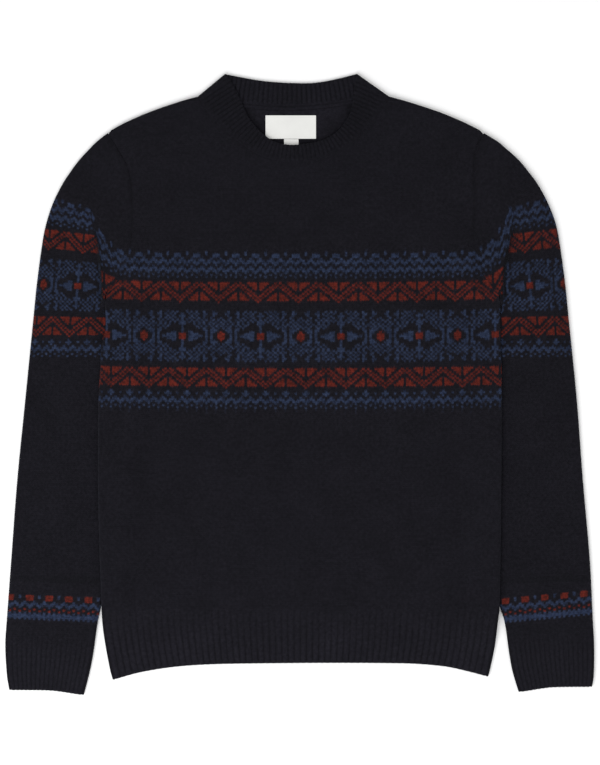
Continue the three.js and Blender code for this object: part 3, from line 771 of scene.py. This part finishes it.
cuff_band = "rr..b rr..b rr... ..b.. .bbb. bb.bb b...b ..r.. r...r b.b.b bbbbb bbbbb b.b.b".split()
cuff_chart = np.array([[".br".index(kind) for kind in row] for row in cuff_band])
sleeve_creases = {
    "left": [
        ((-300, 226), (-262, 262), 11, 0.8), ((-262, 120), (-300, 92), 12, 0.9),
        ((-256, 60), (-318, 22), 14, -0.7), ((-262, 20), (-306, -30), 13, 0.9),
        ((-270, -96), (-330, -120), 16, 0.8), ((-262, -176), (-318, -214), 15, -0.7),
        ((-280, 178), (-264, 140), 10, 0.6),
    ],
    "right": [
        ((296, 232), (262, 268), 12, 0.8), ((264, 116), (304, 84), 11, 0.9),
        ((262, 48), (322, 20), 15, -0.7), ((268, 10), (318, -52), 14, 0.8),
        ((272, -112), (330, -140), 15, 0.8), ((270, -196), (334, -222), 13, -0.7),
        ((290, 176), (270, 132), 11, 0.6),
    ],
}


def past_pleat(x, y, side):
    """How far a place lies beyond the pleat, as seen from the body."""
    return np.abs(x) - np.abs(table_at(pleat, "y", side, y))


def sleeve_lift(x, y, side):
    up = smooth((y - sleeve_lift_end) / (underarm_y - sleeve_lift_end))
    return lift_below(y) * up * (1 - smooth(past_pleat(x, y, side) / table_at(pleat, "y", "width", y)))


def sleeve_stitches(x, y, side):
    """The sleeve's own stitches: its rows slope down to the body near the top of the sleeve."""
    knit, off, down = sleeve_knit, np.abs(x) + sleeve_knit["shift"], -y
    level = down.copy()
    for _ in range(6):
        slope = np.interp(level, sleeve_rows["down"], sleeve_rows["slope"])
        level = down + slope * (off - knit["level_at"])
    out = np.clip(off - (knit[side] + knit["lean"] * (down + knit["lean_from"])), None, knit["reach"])
    wide, narrow = knit["stitch"], knit["narrowing"]
    narrowed = (wide - np.sqrt(np.maximum(wide**2 - 4 * narrow * out, 0.1))) / (2 * narrow)
    stitch = np.where(out > 0, narrowed, out / wide)
    return half_stitches + stitch, (level + knit["top"]) / knit["row"]


def pleat_stitches(x, y):
    """The body's stitches beyond the armhole, where its rows rise to the fold."""
    knit = pleat_knit
    beyond = np.clip((np.abs(x) - knit["start"]) / knit["width"], 0, None)
    rise = knit["rise"] * beyond ** knit["bend"]
    row = (knit["top"] + rise - y) / (row_height + rise / knit["rows"])
    stitch, _ = body_stitches(x, y)
    return stitch, np.where(row < knit["rows"], row, (knit["top"] - y) / row_height)


def cuff_stitches(x, y):
    middle, top, slope = (np.where(x < 0, cuff_knit["left"][name], cuff_knit["right"][name])
                          for name in ("middle", "top", "slope"))
    off = np.abs(x)
    return (off - middle) / cuff_stitch, (-y - (top + slope * (cuff_rows_outer - off))) / cuff_row


def beside_armhole(x, y, side):
    """Whether a place lies between the armhole and the pleat, where the body's rows go on."""
    return (past_pleat(x, y, side) < pleat_knit["ends_past"]) & (y > pleat_knit["ends_above"])


def sleeve_yarn(x, y, side):
    own = yarn_at(bands, bands_shift, *sleeve_stitches(x, y, side))
    body = yarn_at(bands, bands_shift, *pleat_stitches(x, y))
    cuffs = yarn_at(cuff_chart, np.zeros(len(cuff_chart), int), *cuff_stitches(x, y))
    own = np.where(beside_armhole(x, y, side) & (y < pleat_knit["bands_below"]), body, own)
    return yarn_weights(np.where(y < cuff_rows_start, cuffs, own))


def sleeve_spacing():
    """Places along the sleeve's lines, counted in the rows of their table."""
    stretches = zip(sleeve_steps["from"], sleeve_steps["to"], sleeve_steps["count"])
    wanted = [np.linspace(start, end, count + 1)[:-1] for start, end, count in stretches]
    wanted = np.concatenate([*wanted, sleeve_steps["to"][-1:]])
    return np.interp(-wanted, -np.array(sleeve_lines["outer"]), np.arange(len(sleeve_lines["outer"])))


def line_ends(side, outer_y, inner_y):
    """Where lines across the sleeve meet its outer and its inner edge."""
    return (np.stack([table_at(sleeve_outer, "y", side, outer_y), outer_y], axis=1),
            np.stack([table_at(sleeve_inner, "y", side, inner_y), inner_y], axis=1))


fold_steps = half * (1 - np.cos(np.radians([0, 22, 45, 67])))       # from a fold line inwards


def shares_across(length, places):
    """Shares of the way from fold to fold: steps round each fold, and the given places between."""
    inset = fold_steps / length
    between = lerp(half / length, 1 - half / length, places)
    return np.concatenate([inset, between, 1 - inset[..., ::-1]], axis=-1)


def fold_across(shares, length):
    """How far places across a tube are from its folds, how round it is there, and its inside."""
    from_end = np.minimum(shares, 1 - shares) * length
    inner_inset = (half - inner_radius * (1 - np.clip(from_end / half, 0, 1))) / length
    inner_shares = np.where(shares < 0.5, inner_inset, 1 - inner_inset)
    inner_shares = np.where(from_end < half - 1e-6, inner_shares, shares)
    return from_end, round_fold(from_end), inner_shares


def round_tube(upper, lower):
    """The upper sheet's columns and then the lower sheet's, back from its far fold to the first."""
    return np.concatenate([upper, lower[:, -2:0:-1]], axis=1)


def coarse_folds(count):
    """Some of the columns of a sheet with folds at both ends, where they lie close together."""
    return sorted({0, 2, 4, count - 1, count - 3, count - 5, *range(8, count - 8, 8)})


def tube_shell(outer_place, upper_z, lower_z, inner_place, middle, roundness, row_step):
    """Points and faces of a flattened tube."""
    outer = round_tube(np.dstack([*outer_place, upper_z]), np.dstack([*outer_place, lower_z]))
    inner = round_tube(np.dstack([*inner_place, middle + inner_radius * roundness]),
                       np.dstack([*inner_place, middle - inner_radius * roundness]))
    rows, columns = outer.shape[:2]
    across = upper_z.shape[1]
    upper_kept = coarse_folds(across)
    lower_kept = [columns - place for place in reversed(upper_kept) if 0 < place < across - 1]
    faces = shell_faces(rows, columns, coarse(rows, row_step), upper_kept + lower_kept, wraps=True)
    return both_sheets(outer, inner), faces


def tube_painted_shade(upper):
    """Painted shade on the outside of a tube, from its upper sheet, with none inside."""
    outer = round_tube(upper, upper)
    return both_sheets(outer, np.zeros(outer.shape))


def sleeve_mesh(name, side):
    seam = armhole[side]
    outward = -1 if side == "left" else 1
    places = sleeve_spacing()
    numbers = np.arange(len(sleeve_lines["outer"]))
    start, end = line_ends(side, np.interp(places, numbers, sleeve_lines["outer"]),
                           np.interp(places, numbers, sleeve_lines["inner"]))
    straight = np.linalg.norm(end - start, axis=1)
    length = lerp(run_along(seam)[-1], straight, np.clip(places * 2, 0, 1))[:, None]
    shares = shares_across(length, np.linspace(0, 1, 88))
    across = (end - start)[:, None, :]
    line = start[:, None, :] + across * shares[..., None]
    curved = along(seam, shares) - (seam[0] + (seam[-1] - seam[0]) * shares[..., None])
    bow = np.clip(1 - places / ((len(numbers) - 1) * 0.5), 0, 1) ** 1.5
    settled = np.where(places[:, None] < 1e-6, 1, 1 - shares**9)
    line = line + curved * (bow[:, None] * settled)[..., None]
    line[0, :, 0] += outward * seam_inset
    x, y = line[..., 0], line[..., 1]
    _, roundness, inner_shares = fold_across(shares, length)
    slide = (inner_shares - shares)[..., None] * across
    slide[0, :, 0] -= outward * 0.4

    middle = half + sleeve_lift(x, y, side)
    relief = crease_height(x, y, sleeve_creases[side])
    under = np.clip(relief[:, ::-1], 0, None) * 0.6
    first_rows = bell(places * 14, 1)[:, None] * roundness * seam_depth(y)
    upper_z = middle + half * roundness + relief * roundness - first_rows
    lower_z = middle - half * roundness + under * roundness + first_rows * 0.5
    inner_place = (x + slide[..., 0], y + slide[..., 1])
    points, faces = tube_shell((x, y), upper_z, lower_z, inner_place, middle, roundness, 6)

    px, py = points[:, 0], points[:, 1]
    taps = [(dx, dy) for dx in (-0.45, 0, 0.45) for dy in (-0.4, 0, 0.4)]
    yarn = sum(sleeve_yarn(px + dx, py + dy, side) for dx, dy in taps) / len(taps)
    inside = np.repeat([0.0, 1.0], len(points) // 2)
    yarn[inside > 0] = 0
    own = np.where(beside_armhole(px, py, side), pleat_stitches(px, py), sleeve_stitches(px, py, side))
    stitch = np.where(py < cuff_rows_start, cuff_stitches(px, py), own).T
    # Painted shadow beside the pleat, and painted shade along the first rows at the armhole seam
    shade = pleat_shade
    depth = shade["depth"] * smooth((y - shade["bottom"]) / 12) * smooth((shade["top"] - y) / 30)
    depth = depth * bell(past_pleat(x, y, side) - shade["beside"], shade["width"])
    shadow = np.maximum(1.3 * first_rows, depth)
    return knitted(name, points, faces, stitch, lambswool, yarn, inside, tube_painted_shade(shadow))


for worn_side, side in (("left", "right"), ("right", "left")):
    sleeve = sleeve_mesh(f"{worn_side}_sleeve_knit", side)
    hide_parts(f"{worn_side}_sleeve")

# The cuffs
# Short ribbed tubes knitted on to the ends of the sleeves: broad ribs with narrow grooves, and
# slack enough to lie flat.
cuff_seam = {"outer": -289.5, "inner": -293.5}
cuff_end = {"left": (-372.7, -378.8), "right": (-368.8, -375.1)}
cuff_ribs, cuff_relief, cuff_depth = 17, 0.75, 82
steps_per_rib, stitches_per_rib, rib_row = 8, 3, 2.3


def arch(place):
    """From 0 in the grooves, at the whole numbers, to 1 on the ribs between them."""
    return np.abs(np.sin(np.pi * place))


def rib_wave(place):
    """How far the ribs stand up, and the grooves sink in."""
    return arch(place) ** 0.55 - 0.4


def groove(place):
    """How deep a rib's groove is pressed into the side that lies on the table."""
    return 0.7 * (1 - arch(place) ** 0.45)


def rib_painted_shade(place):
    """Painted shade between the ribs: 1 at the bottom of a groove."""
    return 1 - arch(place) ** 0.7


def rib_growth(down, reach=9):
    """The ribs grow out of the plain knitting over their first rows."""
    return smooth(down / reach)


def scallop(place, down, reach=7):
    """How far a bound edge stands out on the ribs and draws in at the grooves."""
    return 0.6 * (arch(place) ** 0.6 - 0.6) * smooth(1 - down / reach)


def rounded_end(down):
    """How far the cloth rounds off at a bound edge, from the distance to it."""
    return 0.9 * (1 - np.sqrt(1 - (1 - np.clip(down / 2.2, 0, 1)) ** 2))


def ribs_across(count):
    """Places between two folds, and which rib each is on, with the folds' own places added."""
    places = np.arange(count * steps_per_rib + 1) / (count * steps_per_rib)
    fold = np.zeros(len(fold_steps))
    return places, np.concatenate([fold, places, fold + 1]) * count


def rib_stitches(on_ribs, down):
    sheet = np.dstack([np.broadcast_to(on_ribs * stitches_per_rib, down.shape), down / rib_row])
    return both_sheets(sheet, sheet)


def late_drop(share, rows, side):
    """The cuff's end runs straight across at first and drops near the body's side."""
    drop = cuff_end[side][0] - cuff_end[side][1]
    wanted = 0.5 * share**3 + 0.5 * smooth(2 * share - 1)
    return drop * (share - wanted) * rows**2


def cuff_mesh(name, side):
    rows = np.concatenate([np.linspace(0, 0.94, 18), [0.96, 0.975, 0.985, 0.994, 1.0]])
    start, end = line_ends(side, lerp(cuff_seam["outer"] - seam_gap, cuff_end[side][0], rows),
                           lerp(cuff_seam["inner"] - seam_gap, cuff_end[side][1], rows))
    length = np.linalg.norm(end - start, axis=1)[:, None]
    rows = rows[:, None]
    rib_places, on_ribs = ribs_across(cuff_ribs)
    shares = shares_across(length, rib_places)
    from_end, roundness, inner_shares = fold_across(shares, length)

    def place(shares):
        x, y = (lerp(start[:, axis, None], end[:, axis, None], shares) for axis in (0, 1))
        return x, y + late_drop(shares, rows, side)

    x, y = place(shares)
    to_bound_edge = (1 - rows) * cuff_depth
    on_rib = (from_end > half - 1e-6) * 1.0
    growth = rib_growth(rows * cuff_depth, 50) * on_rib
    rounding = rounded_end(to_bound_edge)
    swell = 0.5 * np.sin(np.pi * rows)
    upper_z = half + half * roundness + cuff_relief * rib_wave(on_ribs) * growth
    upper_z = upper_z - rounding * roundness + swell * roundness
    lower_z = half - half * roundness + groove(on_ribs) * growth + rounding * roundness * 0.6
    y = y - scallop(on_ribs, to_bound_edge) * on_rib
    points, faces = tube_shell((x, y), upper_z, lower_z, place(inner_shares), half, roundness, 4)
    on_ribs_round = round_tube(on_ribs[None], on_ribs[None])
    down = np.broadcast_to(rows * cuff_depth, (len(rows), on_ribs_round.shape[1]))
    # Painted shade in the grooves between the ribs, and painted light on the ribs where the value is
    # below zero
    painted_shade = tube_painted_shade((1.15 * rib_painted_shade(on_ribs) - 0.72) * growth)
    return knitted(name, points, faces, rib_stitches(on_ribs_round, down), lambswool, painted_shade=painted_shade)


for worn_side, side in (("left", "right"), ("right", "left")):
    cuff = cuff_mesh(f"{worn_side}_cuff_rib", side)
    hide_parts(f"{worn_side}_cuff")

# The ribs at the hem
# A ribbed band along the bottom of the front and one along the back, which meet in the folds at
# the sides. They draw in a little towards the bottom edge.
hem_end = {
    "x": [-228.3, -193.6, -143.5, -72.8, 122.4, 176.1, 206.6, 229.2],
    "y": [-360.3, -350.8, -343.4, -340.4, -340.0, -343.8, -350.4, -356.4],
}
hem_ribs, hem_relief = 62, 0.8


def hem_mesh(name, facing):
    ends_x, ends_y = hem_end["x"], hem_end["y"]
    width = ends_x[-1] - ends_x[0]
    rows = np.concatenate([np.linspace(0, 0.93, 16), [0.955, 0.972, 0.985, 0.994, 1.0]])[:, None]
    rib_places, on_ribs = ribs_across(hem_ribs)
    shares = shares_across(width, rib_places)
    start_y = hem_seam_y - seam_gap / 2
    end_y = table_at(hem_end, "x", "y", lerp(ends_x[0], ends_x[-1], shares))
    left, right = (table_at(body_side, "y", side, lerp(start_y, side_end, rows))
                   for side, side_end in (("left", ends_y[0]), ("right", ends_y[-1])))
    x, y = lerp(left, right, shares), lerp(start_y, end_y, rows)
    from_end, flatness, inner_shares = fold_across(shares, width)
    on_rib = (from_end > half - 1e-6) * 1.0
    outer_z, inner_z = layer_heights(half + body_lift(x, y), facing, flatness)
    outer_z -= facing * rounded_end(y - end_y) * flatness * (1 if facing > 0 else 0.6)
    growth = on_rib * (0.4 * rib_growth(start_y - y) + 0.6 * rib_growth(start_y - y, 60))
    outer_z += (hem_relief * rib_wave(on_ribs) if facing > 0 else groove(on_ribs)) * growth
    # Painted shade in the grooves between the ribs, and painted light on the ribs where the value is
    # below zero
    painted_shade = (1.25 * rib_painted_shade(on_ribs) - 0.85) * growth
    y = y - scallop(on_ribs, y - end_y) * on_rib
    inner_x = x + (inner_shares - shares) * width
    points = both_sheets(np.dstack([x, y, outer_z]), np.dstack([inner_x, y, inner_z]))
    count, columns = x.shape
    faces = shell_faces(count, columns, coarse(count, 4), coarse_folds(columns))
    return knitted(name, points, faces, rib_stitches(on_ribs, start_y - y), lambswool,
                   painted_shade=both_sheets(painted_shade, np.zeros(painted_shade.shape)))


for part, facing, rests_on in (("front", 1, ["back_hem_knit"]), ("back", -1, [])):
    hem = hem_mesh(f"{part}_hem_knit", facing)
    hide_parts(f"{part}_hem_rib")
    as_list(rests_on)

# The neckband
# A ribbed ring sewn on round the neck. Its front half lies on the upper layer and its back half on
# the table, with its inside showing, and it folds round at both ends.
back_band_edge = [
    neck_tip["left"], (-82.5, 377.2), (-42.3, 370.3), (0.4, 367.8), (24.8, 369.1), (49.2, 373.9),
    neck_tip["right"],
]
neck_ribs = {"front": 56, "back": 34}
neck_steps_per_rib = 7
neck_relief, band_bulge, band_fold_share = 0.9, 0.7, 0.016
linked_depth = 8                        # of plain knitting inside, where the band is linked on
neck_row = 2.2
past_tips = 30                          # how far the counting of its ribs goes on past its ends
band_seam = {"front": smooth_curve(front_neck_points), "back": smooth_curve(back_neck_points)}
band_edge = {"front": smooth_curve(front_band_edge), "back": smooth_curve(back_band_edge)}


def band_place(part, share, across):
    """A place on the band, between its seam and its free edge, and how wide the band is there."""
    seam, free = along(band_seam[part], share), along(band_edge[part], share)
    width = np.linalg.norm(free - seam)
    return lerp(seam, free, lerp(seam_gap / width, 1, across)), width


def straight_on(end, inner):
    """Points that go straight on past a curve's end, away from a point further in."""
    away = (end - inner) / np.linalg.norm(end - inner)
    return np.linspace(end, end + away * past_tips, past_tips + 1)[1:]


def lengthened(curve):
    return np.vstack([straight_on(curve[0], curve[6])[::-1], curve, straight_on(curve[-1], curve[-7])])


band_middle = {part: lengthened((band_seam[part] + band_edge[part]) / 2) for part in band_seam}
band_run = {part: run_along(middle) for part, middle in band_middle.items()}


def rib_at(part, point):
    """Ribs run square to the middle of the band, so they are counted along it."""
    middle, run = band_middle[part], band_run[part]
    nearest = np.argmin(np.hypot(*(middle - point).T))
    step = middle[min(nearest + 1, len(middle) - 1)] - middle[max(nearest - 1, 0)]
    beyond = (point - middle[nearest]) @ (step / np.linalg.norm(step))
    return (run[nearest] - past_tips + beyond) / (run[-1] - 2 * past_tips) * neck_ribs[part]


def band_swell(across):
    return band_bulge * np.sin(np.pi * across)


def band_half(part, across):
    """A row of the band's front or back half: place and height outside and inside, stitch, painted
    shade.
    """
    count = neck_ribs[part] * neck_steps_per_rib
    for step in range(count + 1)[::1 if part == "front" else -1]:
        from_tip = min(step, count - step) / neck_steps_per_rib
        point, width = band_place(part, lerp(band_fold_share, 1 - band_fold_share, step / count), across)
        rib, down = rib_at(part, point), across * width
        rounding = rounded_end((1 - across) * width)
        near_tip = smooth(from_tip / 0.7)
        growth = rib_growth(down) * near_tip
        wave = neck_relief * rib_wave(rib)
        if part == "front":
            puffed = neck_puff(*point)
            outer_z = tube + puffed + wave * growth + band_swell(across) - rounding
            inner_z = half + inner_radius + puffed
            inner_painted_shade = 0
        else:
            chain = 0.12 * np.sin(2 * np.pi * rib * stitches_per_rib)
            linked = (0.9 + chain) * bell(down - 3.3, 1.7) + (0.7 - chain) * bell(down - 7.3, 0.9)
            ribbed = smooth((down - linked_depth) / 2) * near_tip
            outer_z = groove(rib) * growth + 0.5 * rounding
            inner_z = half - inner_radius + 0.4 * band_swell(across) - 0.5 * rounding + linked
            inner_z += 1.25 * wave * ribbed
            # Painted shade inside the back half: in the rib grooves, at the seam and between the linking
            # chain's two lines; with 0.65 taken off below, the rest of the inside is lighter
            inner_painted_shade = 1.4 * rib_painted_shade(rib) * ribbed + 1.2 * bell(down - 0.4, 0.8)
            inner_painted_shade += bell(down - 5.7, 0.7)
        # Painted shade in the grooves of the ribs on the outside
        outer_painted_shade = (0.95 * rib_painted_shade(rib) - 0.1) * growth
        yield (*point, outer_z, *point, inner_z, rib * stitches_per_rib, down / neck_row,
               outer_painted_shade, min(inner_painted_shade, 1.3) - 0.65)


def band_fold(at_end, across):
    """The same where the band folds round: to its back half at its end, to its front at its start."""
    share = 1 - band_fold_share if at_end else band_fold_share
    tip, width = band_place("front", 1 if at_end else 0, across)
    for degrees in range(75, -76, -15):
        angle = np.radians(degrees)
        on_back = degrees <= 0 if at_end else degrees >= 0
        flat_point, _ = band_place("back" if on_back else "front", share, across)
        up = (1 if at_end else -1) * np.sin(angle)
        swell = (0.5 + 0.5 * up) * band_swell(across)
        yield (*lerp(tip, flat_point, 1 - np.cos(angle)), half + up * half + max(up, 0) * swell,
               *lerp(tip, flat_point, (half - inner_radius * np.cos(angle)) / half),
               half + up * inner_radius, 0, across * width / neck_row, 0, 0)


def neckband_mesh(name):
    rows = np.concatenate([np.linspace(0, 0.93, 38), [0.95, 0.965, 0.98, 0.99, 1.0]])
    ring = np.array([[*band_half("front", across), *band_fold(True, across),
                      *band_half("back", across), *band_fold(False, across)] for across in rows])
    outer, inner, stitch, painted_shade = np.split(ring, [3, 6, 8], axis=2)
    count, columns = ring.shape[:2]
    faces = shell_faces(count, columns, range(count), range(columns), wraps=True)
    return knitted(name, both_sheets(outer, inner), faces, both_sheets(stitch, stitch), lambswool,
                   painted_shade=both_sheets(painted_shade[..., 0], painted_shade[..., 1]))


band = neckband_mesh("neckband_rib")
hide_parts("neckband")

# The label and the size tab
# Woven ribbon, sewn to the inside of the back of the neck by its edges. Both are blank.
label_box = {"left": -41.7, "right": 19.9, "top": 328.5, "bottom": 300, "thickness": 0.5}
tab_box = {"left": -19.1, "right": -1.4, "top": 299.7, "bottom": 286, "thickness": 0.4}
label_floor = wall + 0.15


def satin():
    """White satin ribbon: fine warp threads with a weft that shows as faint cross lines."""
    material, start = new_material("satin_ribbon")
    across = start.node("ShaderNodeTexCoord", output="Object").split()
    warp = (across * (2 * np.pi / 0.00045)).sine()
    weft = (across.other("Y") * (2 * np.pi / 0.0006)).sine()
    weave = 0.5 + 0.25 * warp + 0.25 * warp * weft
    cloud = start.noise(60.0)
    tone = 0.35 * weave + 0.65 * cloud
    white = tone.between((0.66, 0.66, 0.64, 1), (0.80, 0.80, 0.775, 1))
    start.surface(Base_Color=white, Roughness=0.42 + 0.2 * cloud, Normal=weave.bump(0.3, 0.00008),
                  Sheen_Weight=0.2, Specular_IOR_Level=0.4)
    return material


ribbon = satin()


def ribbon_piece(name, box, rise):
    columns, rows = 40, 22
    across, up = np.meshgrid(np.linspace(0, 1, columns), np.linspace(0, 1, rows))
    x, y = lerp(box["left"], box["right"], across), lerp(box["bottom"], box["top"], up)
    soft = rise * np.sin(np.pi * across) * (1 - up) ** 2
    side = np.minimum(np.minimum(across, 1 - across) * (box["right"] - box["left"]),
                      np.minimum(up, 1 - up) * (box["top"] - box["bottom"]))
    rounding = 0.12 * (1 - np.clip(side / 0.8, 0, 1)) ** 2
    top = label_floor + soft + box["thickness"] - rounding
    under = label_floor + soft
    points = both_sheets(np.dstack([x, y, top]), np.dstack([x, y, under]))
    faces = shell_faces(rows, columns, range(rows), range(columns))
    return knitted(name, points, faces, np.zeros((len(points), 2)), ribbon)


neck_label = ribbon_piece("blank_label", label_box, 0.4)
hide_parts("neck_label")
tab = ribbon_piece("blank_size_tab", tab_box, 0.3)
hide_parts("size_tab")
